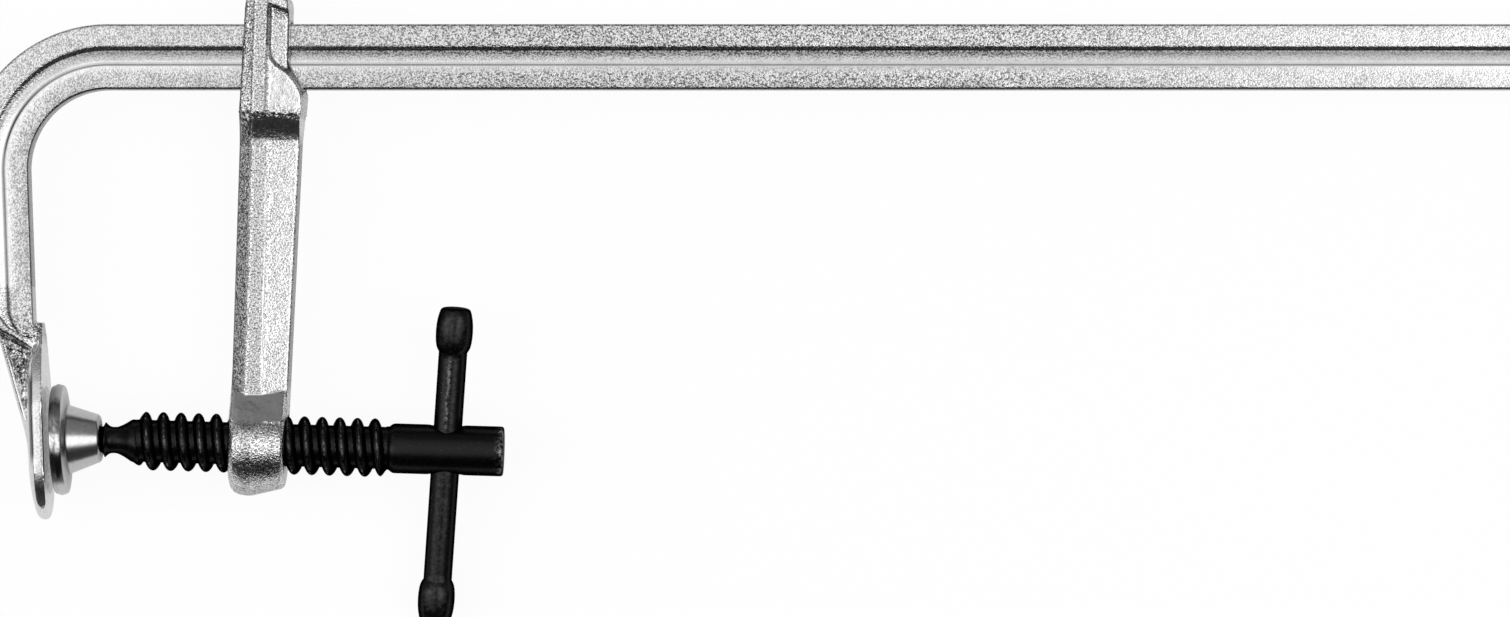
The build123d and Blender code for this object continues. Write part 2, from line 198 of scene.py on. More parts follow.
# Rail bar: one bar of hot-rolled steel with a shallow channel along both faces, bent into the leg of the
# fixed jaw. Its oval plate and the rib behind it are drop-forged from the bar's own end, then trimmed.
import bmesh
import numpy as np
from math import cos, pi, radians, sin, tan
from mathutils import noise


def open_group(tree, inputs, outputs):
    """Gives a new node group its sockets, from (name, kind) pairs, and returns what adds its nodes."""
    for side, sockets in (("INPUT", inputs), ("OUTPUT", outputs)):
        for name, kind in sockets:
            tree.interface.new_socket(name, in_out=side, socket_type="NodeSocket" + kind)
    return node_maker(tree)


# Grain of the blasted and plated skin: specks, patches and streaks, which fade where the skin is smooth, and which
# darken by each point's dark mark, mostly painted shade
forged = bpy.data.node_groups.new("forged_grain", "ShaderNodeTree")
add = open_group(
    forged,
    [
        ("Place", "Vector"),
        ("Grain", "Float"),
        ("Dark", "Color"),
        ("Light", "Color"),
        ("Patchy", "Float"),
        ("Rough", "Float"),
        ("Groove", "Float"),
    ],
    [("Colour", "Color"), ("Height", "Float"), ("Shine", "Float")],
)
given = add("NodeGroupInput").outputs
fine = add(
    "ShaderNodeTexNoise",
    {"Detail": 1.0, "Roughness": 0.6},
    {"Vector": given["Place"], "Scale": given["Grain"]},
)
wide = add("ShaderNodeTexNoise", {"Scale": 160.0, "Detail": 3.0, "Roughness": 0.6}, {"Vector": given["Place"]})
streak = add("ShaderNodeTexNoise", {"Scale": 620.0, "Detail": 2.0, "Roughness": 0.6}, {"Vector": given["Place"]})
speck = add("ShaderNodeMapRange", {1: 0.35, 2: 0.59}, {0: fine.outputs["Fac"]}, interpolation_type="SMOOTHSTEP")
tone = add("ShaderNodeMix", links={0: speck.outputs[0], 6: given["Dark"], 7: given["Light"]}, data_type="RGBA")
tone = add("ShaderNodeMix", links={0: given["Rough"], 6: given["Light"], 7: tone.outputs[2]}, data_type="RGBA")
patch = add("ShaderNodeMath", {1: 0.5}, {0: wide.outputs["Fac"]}, operation="SUBTRACT")
patch = add("ShaderNodeMath", links={0: patch.outputs[0], 1: given["Patchy"]}, operation="MULTIPLY")
patch = add("ShaderNodeMath", {1: 1.0}, {0: patch.outputs[0]}, operation="ADD")
# Painted shade: the colour darkens by each point's dark mark
clear = add("ShaderNodeMath", {0: 1.0}, {1: given["Groove"]}, operation="SUBTRACT")
patch = add("ShaderNodeMath", links={0: patch.outputs[0], 1: clear.outputs[0]}, operation="MULTIPLY")
shade = add("ShaderNodeVectorMath", links={0: tone.outputs[2], "Scale": patch.outputs[0]}, operation="SCALE")
rise = add("ShaderNodeMath", {1: 0.35}, {0: streak.outputs["Fac"], 2: fine.outputs["Fac"]}, operation="MULTIPLY_ADD")
rise = add("ShaderNodeMath", links={0: rise.outputs[0], 1: given["Rough"]}, operation="MULTIPLY")
shine = add("ShaderNodeMapRange", {1: 0.35, 2: 0.65, 3: 0.1, 4: 0.24}, {0: streak.outputs["Fac"]})
add("NodeGroupOutput", links={"Colour": shade.outputs[0], "Height": rise.outputs[0], "Shine": shine.outputs[0]})

# Bright plated steel, which reads how rough each point of the skin is and how dark it is painted: mostly painted
# shade, with some tone of its own
bright, add = empty_material("bright_forged_steel")
place = add("ShaderNodeTexCoord").outputs["Object"]
rough = add("ShaderNodeAttribute", attribute_name="rough").outputs["Fac"]
shade_and_tone = add("ShaderNodeAttribute", attribute_name="shade_and_tone").outputs["Fac"]
look = add(
    "ShaderNodeGroup",
    {"Grain": 1700.0, "Dark": (0.17, 0.17, 0.1717, 1), "Light": (0.92, 0.92, 0.9292, 1), "Patchy": 0.3},
    {"Place": place, "Rough": rough, "Groove": shade_and_tone},
    node_tree=forged,
)
bump = add("ShaderNodeBump", {"Strength": 1.0, "Distance": 0.0002}, {"Height": look.outputs["Height"]})
surface = add(
    "ShaderNodeBsdfPrincipled",
    {"Metallic": 1.0},
    {"Base Color": look.outputs["Colour"], "Roughness": look.outputs["Shine"], "Normal": bump.outputs[0]},
)
add("ShaderNodeOutputMaterial", links={"Surface": surface.outputs[0]})

# Sizes in mm: x runs along the rail from the jaw's face, y from the spindle's line to the rail, z across them
throat, rail_height, rail_half = 119.0, 22.2, 5.5
rail_end = 549.76
bend_centre, bend_radius = (20.74, 92.0), 27.0
jaw_lean = radians(2.0)
leg_back = 3.1
channel_low, channel_high, channel_depth = 8.1, 14.3, 1.3
leg_joint = 52.0


def solid_mesh(name, points, faces):
    """A smooth-shaded object from points in mm and faces that point outwards."""
    mesh = bpy.data.meshes.new(name)
    mesh.from_pydata(np.asarray(points) * 0.001, [], [list(face) for face in faces])
    mesh.shade_smooth()
    mesh.set_sharp_from_angle(angle=radians(40.0))
    made = bpy.data.objects.new(name, mesh)
    bpy.context.scene.collection.objects.link(made)
    return made


def ringed_skin(rings):
    """Points and faces of a closed skin over rings of points, with a flat cap at each end."""
    count, around = rings.shape[:2]
    faces = []
    for ring in range(count - 1):
        for spot in range(around):
            after = (spot + 1) % around
            faces.append(
                (ring * around + spot, ring * around + after, (ring + 1) * around + after, (ring + 1) * around + spot)
            )
    faces.append(tuple(range(around))[::-1])
    faces.append(tuple(range((count - 1) * around, count * around)))
    return rings.reshape(-1, 3), faces


def outward(piece):
    """Merges a mesh's doubles and turns its faces outwards."""
    bm = bmesh.new()
    bm.from_mesh(piece.data)
    bmesh.ops.remove_doubles(bm, verts=bm.verts, dist=1e-7)
    bmesh.ops.recalc_face_normals(bm, faces=bm.faces)
    bm.to_mesh(piece.data)
    bm.free()


def rounded_step(value, start, stop):
    """A smooth step from 0 to 1 as the value goes from start to stop."""
    share = np.clip((value - start) / (stop - start), 0.0, 1.0)
    return share * share * (3.0 - 2.0 * share)


# Depth of the channel across its width, on the straight bar and where the bending has spread its outer lip
channel_shares = (-0.05, 0.0, 0.05, 0.1, 0.2, 0.34, 0.48, 0.6, 0.7, 0.785, 0.81, 0.835, 0.88, 0.93, 0.98, 1.03)
channel_dips = (0.0, 0.02, 0.17, 0.25, 0.29, 0.39, 0.54, 0.72, 0.87, 0.985, 1.0, 0.94, 0.76, 0.5, 0.18, 0.0)
spread_dips = (0.0, 0.02, 0.17, 0.25, 0.31, 0.46, 0.66, 0.78, 0.74, 0.64, 0.58, 0.51, 0.38, 0.22, 0.1, 0.0)


def channel_dip(share, depth):
    """Depth of the rolled channel from its inner lip (0) to its steep outer lip (1)."""
    return depth * np.interp(share, channel_shares, channel_dips)


corner = 0.9
turns = np.linspace(0, pi / 2, 5)
lower = [(corner - corner * cos(turn), rail_half - corner + corner * sin(turn)) for turn in turns]
upper = [(rail_height - w, z) for w, z in reversed(lower)]
half = lower + [(2.6, rail_half), (5.2, rail_half), (7.3, rail_half)]
for share in channel_shares:
    dip = float(channel_dip(share, channel_depth))
    half.append((channel_low + share * (channel_high - channel_low), rail_half - dip))
half = half + [(15.3, rail_half), (17.0, rail_half), (19.4, rail_half)] + upper
section = np.array(half + [(w, -z) for w, z in reversed(half)])

# The bending spreads the channel's outer lip
spread = section.copy()
share = (section[:, 0] - channel_low) / (channel_high - channel_low)
in_channel = (share > -0.06) & (share < 1.04)
spread_height = rail_half - channel_depth * np.interp(share, channel_shares, spread_dips)
spread[in_channel, 1] = (np.sign(section[:, 1]) * spread_height)[in_channel]

rings = []
for x in np.linspace(rail_end, bend_centre[0], 133):
    rings.append([(x, throat + w, z) for w, z in section])
for angle in np.linspace(pi / 2, pi + jaw_lean, 60)[1:]:
    weight = rounded_step(angle, radians(98), radians(135)) * rounded_step(angle, radians(182), radians(170))
    rings.append(
        [
            (
                bend_centre[0] + (bend_radius + w) * cos(angle),
                bend_centre[1] + (bend_radius + w) * sin(angle),
                z,
            )
            for w, z in section * (1.0 - weight) + spread * weight
        ]
    )
turned = np.array(rings[-1])
drop = turned[0][1] - leg_joint
for step in np.linspace(0, drop, 12)[1:]:
    rings.append(turned + np.array((step * tan(jaw_lean), -step, 0.0)))
rail_points, rail_faces = ringed_skin(np.array(rings))


def forging_skin(field, low, high, step):
    """Points and quads of the skin round a solid, whose field is below zero inside it (all in mm)."""
    sides = [np.arange(start, stop + step, step) for start, stop in zip(low, high)]
    values = field(*np.meshgrid(*sides, indexing="ij"))
    cells = tuple(count - 1 for count in values.shape)
    total = np.zeros((cells[0] * cells[1] * cells[2], 3))
    shares = np.zeros(len(total))
    quads = []
    for axis in range(3):
        start = values[tuple(slice(0, -1) if side == axis else slice(None) for side in range(3))]
        stop = values[tuple(slice(1, None) if side == axis else slice(None) for side in range(3))]
        at = np.argwhere((start < 0) != (stop < 0))
        first, last = start[tuple(at.T)], stop[tuple(at.T)]
        point = at.astype(float)
        point[:, axis] += first / (first - last)
        ring = []
        for back_u, back_v in ((0, 0), (1, 0), (1, 1), (0, 1)):
            cell = at.copy()
            cell[:, (axis + 1) % 3] -= back_u
            cell[:, (axis + 2) % 3] -= back_v
            number = np.ravel_multi_index(cell.T, cells)
            np.add.at(total, number, point)
            np.add.at(shares, number, 1)
            ring.append(number)
        ring = np.stack(ring, 1)
        ring[first > 0] = ring[first > 0][:, ::-1]
        quads.append(ring)
    quads = np.concatenate(quads)
    used = np.flatnonzero(shares)
    order = np.zeros(len(total), dtype=int)
    order[used] = np.arange(len(used))
    points = total[used] / shares[used, None] * step + np.array(low)
    return points, order[quads]


def joined(first, second, reach):
    """Field of two solids joined with a rounded corner."""
    share = np.clip(0.5 + 0.5 * (second - first) / reach, 0, 1)
    return second * (1 - share) + first * share - reach * share * (1 - share)


def cut(first, second, reach):
    """Field of what two solids share, with a rounded edge."""
    return -joined(-first, -second, reach)


def slope_of(height, step):
    """Scale that turns a height difference into a distance from a sloping face."""
    rise = np.gradient(height, step, axis=(0, 1))
    return 1.0 / np.sqrt(1.0 + rise[0] ** 2 + rise[1] ** 2)


jaw_step = 0.4
forge_height, forge_lean = 31.4, radians(33.0)
inner_lip = ((35.7, 39.8, 43.5, 50.0, 60.0), (7.4, 9.9, 11.2, 11.3, 11.2))
outer_lip = ((35.7, 38.8, 42.5, 46.0, 50.0, 60.0), (7.4, 11.9, 15.0, 16.8, 17.5, 17.6))
rib_bend = 34.5

# The plate is half an oval below its middle, and narrows to the leg above it
plate_middle, plate_height, plate_half = -7.0, 20.0, 15.5
plate_ups = np.linspace(-40.0, 60.0, 401)
plate_widths = np.interp(
    plate_ups,
    (plate_middle, 8.0, 13.0, 19.0, 25.0, 32.0, 37.0, 40.0),
    (plate_half, plate_half, 15.2, 14.0, 11.6, 8.3, 5.4, 2.2),
)
softening = np.hanning(27)
plate_widths = np.convolve(np.pad(plate_widths, 12, "edge"), softening[1:-1] / np.sum(softening), "valid")


def under_forge_line(out, up):
    """How far a point is below the slanting line up to which the dies pressed the bar."""
    return (forge_height + (-leg_back - out) * tan(forge_lean) - up) * cos(forge_lean)


def rib_back(up):
    """Place of the rib's back edge, where it is straight."""
    return -4.8 - 0.243 * (up + 7.5)


def jaw_field(out, up, side):
    """The forged jaw: out from its clamping face, up from the spindle's line, and sideways."""
    flat_out, flat_up = out[:, :, :1], up[:, :, :1]
    deep = np.abs(side)

    # Leg, with the channel that runs out to a point where the plate begins
    low = -np.interp(flat_up, *inner_lip)
    high = -np.interp(flat_up, *outer_lip)
    width = np.clip((low - high) / 6.4, 0.0, 1.0)
    share = (low - flat_out) / np.maximum(low - high, 0.2)
    dip = np.where(flat_up > inner_lip[0][0], channel_dip(share, channel_depth * width**0.6), 0.0)
    below = under_forge_line(flat_out, flat_up)
    shoulder = 1.2 + 3.2 * rounded_step(-flat_out, 8.0, 24.0)
    thick = rail_half - dip - 1.1 * rounded_step(below / shoulder, 0.0, 1.0)
    thick = thick - 1.9 * rounded_step(below - shoulder, -0.2, 0.7)
    in_bar = rounded_step(flat_up, leg_joint, leg_joint + 3.0)
    thick = thick - 0.12 * in_bar
    inset = 0.08 * in_bar
    leg = cut(out + leg_back + inset, -leg_back - rail_height + inset - out, 0.5)
    leg = cut(leg, (deep - thick) * slope_of(thick[:, :, 0], jaw_step)[:, :, None], 0.8)
    leg = cut(leg, up - 57.0, 0.3)

    # Rib, with a smooth rounded back edge and a rough recessed web
    heel = np.clip((up - rib_bend) / 15.5, 0.0, 1.0)
    curve = (1 - heel) ** 2 * (-15.0) + 2 * heel * (1 - heel) * (-16.9) + heel**2 * (-25.3)
    back = np.where(up < rib_bend, rib_back(up), curve)
    behind = (back - out) * 0.965
    web = 3.1 + 1.0 * rounded_step(behind, -2.2, -1.3)
    rib = cut(behind, deep - web, 2.4)
    beyond = np.maximum(up - 50.0, -16.0 - up)
    rib = cut(rib, np.maximum(out + 1.5 + 2.2 * rounded_step(up, 33.0, 37.0), beyond), 0.4)
    leg = cut(leg, back - out, 1.5)

    # Oval plate: flat face, trimmed rim and a domed back
    wide = np.interp(up, plate_ups, plate_widths)
    taper = -np.interp(up, plate_ups, np.gradient(plate_widths, plate_ups))
    over_middle = up - plate_middle
    oval = np.sqrt((side / plate_half) ** 2 + (over_middle / plate_height) ** 2) + 1e-6
    oval_slope = np.sqrt((side / plate_half**2) ** 2 + (over_middle / plate_height**2) ** 2) / oval + 1e-6
    outline = np.where(up > plate_middle, (deep - wide) / np.sqrt(1 + taper**2), (oval - 1.0) / oval_slope)
    outline = cut(outline, up - 40.0, 0.5)
    within = np.where(up > plate_middle, deep / np.maximum(wide, 1.0), oval)
    dome = 3.5 + 3.1 * np.clip(1.0 - within**2, 0.0, 1.0) ** 0.8
    dome = dome - 2.6 * rounded_step(up, 26.0, 33.0)
    plate = cut(cut(out, (-out - dome) * 0.92, 0.5), outline, 0.55 + 1.5 * rounded_step(-up, 20.0, 26.0))

    # Lump where the bar's end was upset against the plate
    lump = np.sqrt(((out + 5.2) / 4.4) ** 2 + ((up - 36.9) / 3.6) ** 2 + ((deep - 3.6) / 2.3) ** 2) * 2.6 - 2.6
    lump = cut(lump, out + 0.4, 0.6)

    jaw = joined(plate, rib, 1.8)
    jaw = joined(jaw, leg, 1.0)
    return joined(jaw, lump, 0.7)


jaw_points, jaw_quads = forging_skin(jaw_field, (-27.5, -28.5, -17.0), (1.5, 58.0, 17.0), jaw_step)


def ragged(points, scale, seed):
    """Rough noise from -1 to 1 at each point, with features of about one scale in mm."""
    return np.array([noise.fractal(Vector(point) / scale + Vector((seed, 0, 0)), 0.6, 2.0, 3) for point in points])


def point_facing(points, quads):
    """The way that the skin faces at each of its points."""
    facing = np.zeros_like(points)
    corners = points[quads]
    flat = np.cross(corners[:, 2] - corners[:, 0], corners[:, 3] - corners[:, 1])
    for spot in range(4):
        np.add.at(facing, quads[:, spot], flat)
    return facing / np.linalg.norm(facing, axis=1)[:, None]


facing = point_facing(jaw_points, jaw_quads)
jaw_out, jaw_up, jaw_side = jaw_points.T
under = under_forge_line(jaw_out, jaw_up)
behind = rib_back(jaw_up) - jaw_out
pitted = rounded_step(under, 1.0, 3.0) * rounded_step(-behind, 1.6, 2.6) * rounded_step(4.6 - np.abs(jaw_side), 0, 0.8)
pitted = pitted * rounded_step(np.abs(facing[:, 2]), 0.4, 0.8)
lumpy = np.exp(-(((jaw_out + 4.5) / 4.5) ** 2) - ((jaw_up - 34.8) / 3.5) ** 2)
streaks = jaw_points * np.array((1.0, 0.55, 1.0))
push = -0.75 * pitted * (0.35 + ragged(streaks, 1.5, 3.0)) + 0.5 * lumpy * ragged(jaw_points, 2.0, 9.0)
push = push + 0.03 * ragged(jaw_points, 6.0, 5.0) * rounded_step(50.0 - jaw_up, 0.0, 4.0)
jaw_points = jaw_points + facing * push[:, None]


def laid(points, lean, centre=(0.0, 0.0)):
    """Points turned by a lean in the clamp's plane, then moved to a centre in it."""
    out, up, side = np.asarray(points).T
    return np.stack(
        (
            centre[0] + out * cos(lean) - up * sin(lean),
            centre[1] + out * sin(lean) + up * cos(lean),
            side,
        ),
        1,
    )


rail = solid_mesh(
    "rail_and_jaw",
    np.concatenate((rail_points, laid(jaw_points, jaw_lean))),
    rail_faces + [tuple(quad) for quad in jaw_quads + len(rail_points)],
)


def mark(piece, name, values):
    """Stores one value for each point of a piece, for its material to read."""
    layer = piece.data.attributes.new(name, "FLOAT", "POINT")
    layer.data.foreach_set("value", np.asarray(values, dtype=np.float32))


# How rough the skin is: rolled smooth in the channel, blasted on the flats, trimmed smooth on the plate's rim
along, across = rail_points[:, 0], np.tile(section[:, 0], len(rail_points) // len(section))
rail_rough = np.interp(along, (0, 60, 150, 330, 420, 550), (0.62, 0.68, 1.0, 1.0, 0.55, 0.45))
rail_rough = rail_rough * np.interp(
    across, (6.4, 7.3, 8.1, 9.4, 10.2, 11.2, 12.2, 14.3, 15.0), (1.0, 0.3, 0.1, 0.12, 0.4, 0.75, 1.0, 1.0, 1.0)
)
on_plate = rounded_step(-9.0 + 0.05 * jaw_up - jaw_out, 0.5, -0.5) * rounded_step(36.0 - jaw_up, 0.0, 3.0)
jaw_rough = 1.0 - 0.8 * on_plate - 0.7 * rounded_step(behind, -2.6, -1.8) * rounded_step(30.0 - jaw_up, 0.0, 6.0)
leg_side = rounded_step(facing[:, 0], 0.6, 0.9) * rounded_step(jaw_up, 34.0, 40.0)
jaw_rough = np.clip(jaw_rough - 0.3 * rounded_step(jaw_up, 36.0, 50.0) - 0.7 * leg_side, 0.15, 1.0)
mark(rail, "rough", np.concatenate((rail_rough, jaw_rough)))

# How dark the bar is painted: painted shade along its edges and down the channel's lips, darker in patches on the land
# towards the screw, and a little darker on the lands midway along
# Painted shade along the lower edge, lighter along the upper edge
rail_shade_and_tone = 0.7 * rounded_step(across, 0.95, 0.3)
rail_shade_and_tone = rail_shade_and_tone + 0.25 * rounded_step(across, rail_height - 0.9, rail_height - 0.2)
# Painted shade down the channel's lips, widened on the bend and down the leg
rail_shade_and_tone = rail_shade_and_tone + np.interp(across, (11.2, 12.4, 13.0, 13.3), (0.0, 0.25, 0.4, 0.0))
down_leg = rounded_step(np.arctan2(bend_centre[1] - rail_points[:, 1], bend_centre[0] - along), -1.5, -0.3)
rail_shade_and_tone = rail_shade_and_tone + (0.1 + 0.75 * down_leg) * np.interp(
    across, (7.4, 7.79, 8.1, 8.41, 8.72, 9.3), (0.0, 0.4, 1.0, 1.0, 0.8, 0.0)
)
# Darker in patches on the land towards the screw
patchy_noise = np.array([noise.noise(Vector((x / 7.0, y / 3.0, z / 3.0))) for x, y, z in rail_points])
rail_shade_and_tone = rail_shade_and_tone + (0.12 + 0.25 * patchy_noise) * rounded_step(across, 5.4, 1.0) * rounded_step(across, 0.0, 0.6)
on_lands = np.interp(across, (6.4, 7.4, 11.4, 13.0), (1, 0, 0, 1))
rail_shade_and_tone = rail_shade_and_tone + np.interp(along, (60, 150, 330, 420), (0.0, 0.06, 0.06, 0.0)) * on_lands

# How dark the jaw is painted: painted shade in its pits, at the forge line's step, at the channel's end, on the leg's
# inner side and its corner, a painted dark band behind the plate's rim for a dark reflection, and the pad's painted
# shadow on the face
leg_edge = rounded_step(np.abs(jaw_side), 4.3, 4.9) * rounded_step(jaw_out, -4.1, -3.5)
leg_edge = leg_edge * rounded_step(jaw_up, 38.0, 42.0)
grain = np.stack((jaw_out * 1.25 - 0.3 * jaw_up, 0.35 * jaw_up + 0.3 * jaw_out, jaw_side * 0.6), 1)
# Painted shade in the pits
pits = pitted * rounded_step(ragged(grain, 0.75, 41.0), 0.0, 0.28)
# Painted shade along the step under the forge line
seam = np.exp(-(((under - 0.2) / 0.45) ** 2)) * rounded_step(np.abs(jaw_side), 3.0, 4.0)
seam = seam * rounded_step(-jaw_out, 3.0, 6.0)
lip = np.exp(-(((jaw_out + 0.1 + np.interp(jaw_up, *inner_lip)) / 0.75) ** 2))
lip = lip * rounded_step(np.abs(jaw_side), 3.6, 4.4) * rounded_step(jaw_up, 34.5, 37.0)
spread_share = np.abs(jaw_side) / np.interp(jaw_up, plate_ups, plate_widths)
# Painted dark band, standing in for a dark reflection
painted_dark_band = rounded_step(spread_share, 0.72, 0.86) * rounded_step(-jaw_out, 2.9, 3.5)
painted_dark_band = painted_dark_band * rounded_step(jaw_up, -10.0, -3.0) * rounded_step(25.0 - jaw_up, 0.0, 6.0)
# Painted shadow of the pad's disc on the face
pressed = rounded_step(jaw_out, -0.5, -0.2) * rounded_step(18.6 - np.hypot(jaw_up, jaw_side), 0.0, 0.5)
# Painted shade also on the leg's inner side, along its corner and at the channel's end
jaw_shade = 0.7 * seam + 0.85 * pits + 0.45 * leg_side + 0.4 * leg_edge + 1.0 * lip + 0.95 * painted_dark_band + 0.5 * pressed
mark(rail, "shade_and_tone", np.clip(np.concatenate((rail_shade_and_tone, jaw_shade)), 0.0, 0.9))
rail.data.materials.append(bright)
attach(rail, "rail")
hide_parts("rail_bar")


# Sliding arm: a drop forging with a window for the rail in its head and a tapped boss at its foot. The
# dies part along its middle plane, so both broad faces are alike, with a thick rib beside a thin web.
arm_centre, arm_tilt = (71.37, -1.45), radians(1.7)
thread_pitch, thread_root, thread_crest, thread_half = 6.0, 7.2, 10.0, 2.15
ball_to_boss, thread_play = 61.0, 0.2
arm_step = 0.432
saddle_lean, saddle_reach = radians(36.0), 16.6
window_middle, window_half_height, window_half_width = 131.6, 11.68, 6.0
left_crease, right_crease = -4.85, -0.15
block_top = (
    (-0.2, 0.34, 1.3, 2.85, 6.29, 8.9, 10.66, 11.79, 12.6),
    (140, 132.9, 130, 128.3, 126.2, 123.7, 121.2, 118.7, 112),
)


def thread_radius(along, up, side):
    """Radius of the rolled thread, by distance from the ball's centre and by the way round the spindle."""
    turn = np.arctan2(-up, side) / (2 * pi)
    phase = along / thread_pitch - turn
    off = np.abs(phase - np.round(phase)) * thread_pitch
    swell = 1.0 - np.minimum(off / thread_half, 1.0) ** 2
    return thread_root + (thread_crest - thread_root) * swell**0.75


# The line where the dies part wanders a little along the shank
wobble_ups = np.arange(0.0, 114.0, 2.0)
wobbles = [
    0.42 * noise.noise(Vector((up / 9.0, 2.0, 0.0))) + 0.25 * noise.noise(Vector((up / 3.5, 5.0, 0.0)))
    for up in wobble_ups
]


def ridge_out(up):
    """Place of the fine raised line along the shank's rib."""
    return np.interp(up, (10, 96), (1.3, 0.5))


def past_saddle(deep, up):
    """How far a point is beyond the flat that slants over each side of the boss."""
    return deep * cos(saddle_lean) + up * sin(saddle_lean) - saddle_reach


def arm_field(out, up, side):
    """The arm: out along the spindle from the boss's middle, up along the shank, and sideways."""
    flat_out, flat_up = out[:, :, :1], up[:, :, :1]
    deep = np.abs(side)
    wavy_out = flat_out - np.interp(flat_up, wobble_ups, wobbles) * rounded_step(4.0 - flat_out, 0.0, 4.0)
    shank = np.interp(wavy_out, (-9.4, -4.3, 0.4, 12.0), (3.4, 8.2, 8.2, 6.3))
    head = np.interp(flat_out, (-9.4, -4.8, -0.1, 12.0), (10.9, 13.0, 13.0, 11.2))
    neck = np.clip((flat_up - 100.9) / (112.4 - 100.9), 0.0, 1.0)
    neck = 0.1 * neck + 0.9 * neck**1.8
    thick = shank + (head - shank) * neck

    # Thin web beside the rib, below the crown and above the curved step of the lower block
    foot = np.interp(flat_out, *block_top)
    above = (flat_up - foot) * np.interp(flat_out, (-0.2, 1.3, 3.0, 9.0, 12.0), (0.12, 0.5, 0.85, 0.75, 0.35))
    crown = np.interp(flat_out, (0.0, 1.2, 7.4), (149.4, 148.9, 146.6))
    web = rounded_step(above, 0.0, 1.0) * rounded_step(flat_out, -0.2, 1.05)
    web = web * rounded_step(crown - flat_up, -0.35, 0.35)
    shallower = 1.0 - 0.25 * rounded_step(flat_up, 143.5, 148.5)
    thick = thick - (2.95 - 0.04 * np.clip(flat_out, 0, 12)) * shallower * web

    # Fine creases from the dies beside the rib, its raised line and the flash along its left edge
    crease = np.exp(-(((flat_out - left_crease) / 0.28) ** 2)) * rounded_step(flat_up, 100.0, 112.0)
    crease = crease + 0.7 * np.exp(-(((flat_out - right_crease) / 0.26) ** 2)) * rounded_step(flat_up, 109.0, 113.0)
    ridge = np.exp(-(((flat_out - ridge_out(flat_up)) / 0.35) ** 2))
    flash = np.exp(-(((wavy_out + 4.25) / 0.4) ** 2))
    thick = thick - 0.4 * crease + (0.16 * ridge + 0.22 * flash) * rounded_step(104.0 - flat_up, 0.0, 3.0)

    # Left and right flanks, rounded off at the crown, and the window for the rail
    left = np.interp(up, (0.0, 110.0, 152.0), (-9.4, -9.1, -7.9))
    step_side = np.interp(
        up,
        (112.0, 117.6, 119.4, 121.0, 123.7, 125.7, 128.1, 130.0, 133.0),
        (13.2, 13.5, 13.4, 13.0, 11.6, 10.0, 8.5, 8.0, 7.9),
    )
    scoop = np.interp(up, (113.0, 118.0, 121.0, 124.0, 127.0, 131.0), (0.0, 0.3, 1.0, 1.3, 1.2, 0.2))
    right = np.where(up > 112.0, step_side, np.interp(up, (0.0, 103.5, 112.0), (10.2, 12.2, 12.9)))
    right = right - 1.1 * np.clip(deep / 12.5, 0.0, 1.2) - scoop * rounded_step(deep, 6.0, 12.0)
    body = cut(left - out, out - right, 0.8)
    body = cut(body, (deep - thick) * slope_of(thick[:, :, 0], arm_step)[:, :, None], 0.9)
    body = cut(body, np.maximum(-up, up - 153.4), 3.0)
    for past_edge in (out - 2.0, -2.8 - out):
        corner = np.hypot(np.maximum(past_edge, 0), np.maximum(up - 147.8, 0)) - 5.6
        body = cut(body, np.where(up > 144.0, corner, -3.0), 0.8)
    window = np.maximum(deep - window_half_width, np.abs(up - window_middle) - window_half_height)
    body = cut(body, -window, 0.6)

    # Boss, widest where the dies part, tapped through for the screw
    around = np.sqrt(up**2 + side**2)
    swell = np.interp(
        out, (-9.6, -8.9, -7.6, -5.6, -3.2, -1.6, 0.0, 9.6), (13.0, 15.0, 16.5, 17.3, 17.58, 17.5, 17.1, 14.6)
    )
    boss = cut(around - swell, np.abs(out) - 9.55, 1.6)
    saddle = past_saddle(deep, up)
    boss = joined(boss, cut(np.maximum(saddle, 8.0 - up), np.abs(out) - 9.3, 1.6), 0.2)
    boss = cut(boss, saddle, 0.4)
    body = joined(body, boss, 0.4)
    hole = around - thread_radius(out + ball_to_boss, up, side) - thread_play
    return cut(body, -hole, 0.3)


arm_points, arm_quads = forging_skin(arm_field, (-10.5, -19.0, -18.9), (14.2, 155.0, 18.9), arm_step)
facing = point_facing(arm_points, arm_quads)
out, up, side = arm_points.T
rough_left = rounded_step(-4.0 - out, 0.0, 1.0) * rounded_step(up, 14.0, 20.0)
rough_lip = np.exp(-(((up - 112.2) / 2.0) ** 2)) * rounded_step(np.abs(side), 8.0, 10.0)
rough_neck = rounded_step(up, 102.0, 106.0) * rounded_step(113.0 - up, 0.0, 1.0)
push = ragged(arm_points, 0.9, 21.0) * (0.12 * rough_left + 0.4 * rough_lip + 0.03 * rough_neck)
push = push + 0.05 * ragged(arm_points, 5.0, 25.0)
push = push + 0.03 * ragged(arm_points, 1.2, 27.0) * rounded_step(4.0 - out, 0.0, 3.0)
push = push * rounded_step(np.abs(side), window_half_width + 0.2, window_half_width + 1.5)
push = np.where(up < 18.0, push * rounded_step(np.hypot(up, side), 12.0, 13.5), push)
arm_points = arm_points + facing * push[:, None]
arm = solid_mesh("sliding_arm_forging", laid(arm_points, -arm_tilt, arm_centre), arm_quads)

